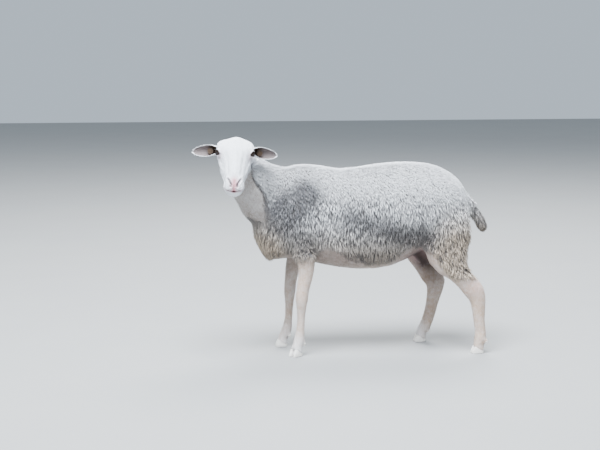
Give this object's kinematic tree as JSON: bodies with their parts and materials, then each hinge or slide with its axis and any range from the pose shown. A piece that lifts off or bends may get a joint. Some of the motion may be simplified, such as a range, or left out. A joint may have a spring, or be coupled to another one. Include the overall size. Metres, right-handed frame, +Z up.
{
  "type": "sheep",
  "caption": "Dairy ewe standing on four legs with its head turned to its left: wool over the body, bare face, throat and legs, and a button tag in each ear.",
  "frame": {"origin": "on the floor, under the middle of the whole animal", "axes": "+Z up; +X from the chest to the rump, so the ewe's body faces -X; +Y to the ewe's right, and its face looks towards -Y"},
  "size_m": [1.1624, 0.4524, 0.8451],
  "materials": {
    "fleece": "short off-white wool in small locks, greyer on the flanks",
    "hair": "short white hair lying close on the skin",
    "skin": "bare pinkish skin",
    "horn": "pale worn hoof horn",
    "eye": "wet, dark amber brown with a level slit pupil",
    "tag": "matt yellow-ochre plastic, bare"
  },
  "bodies": {
    "root": {"trunk": "fleece", "neck": "fleece", "tail": "fleece", "head": "hair", "lower_jaw": "hair", "eye_right": "eye", "ear_right": "hair", "ear_tag_right": "tag", "eye_left": "eye", "ear_left": "hair", "ear_tag_left": "tag", "foreleg_left_forearm": "fleece", "foreleg_left_cannon": "hair", "foreleg_left_pastern": "hair", "foreleg_left_claw_outer": "horn", "foreleg_left_dewclaw_outer": "horn", "foreleg_left_claw_inner": "horn", "foreleg_left_dewclaw_inner": "horn", "foreleg_right_forearm": "fleece", "foreleg_right_cannon": "hair", "foreleg_right_pastern": "hair", "foreleg_right_claw_outer": "horn", "foreleg_right_dewclaw_outer": "horn", "foreleg_right_claw_inner": "horn", "foreleg_right_dewclaw_inner": "horn", "hindleg_left_thigh": "fleece", "hindleg_left_gaskin": "hair", "hindleg_left_cannon": "hair", "hindleg_left_pastern": "hair", "hindleg_left_claw_outer": "horn", "hindleg_left_dewclaw_outer": "horn", "hindleg_left_claw_inner": "horn", "hindleg_left_dewclaw_inner": "horn", "hindleg_right_thigh": "fleece", "hindleg_right_gaskin": "hair", "hindleg_right_cannon": "hair", "hindleg_right_pastern": "hair", "hindleg_right_claw_outer": "horn", "hindleg_right_dewclaw_outer": "horn", "hindleg_right_claw_inner": "horn", "hindleg_right_dewclaw_inner": "horn", "udder": "skin"}
  },
  "joints": []
}
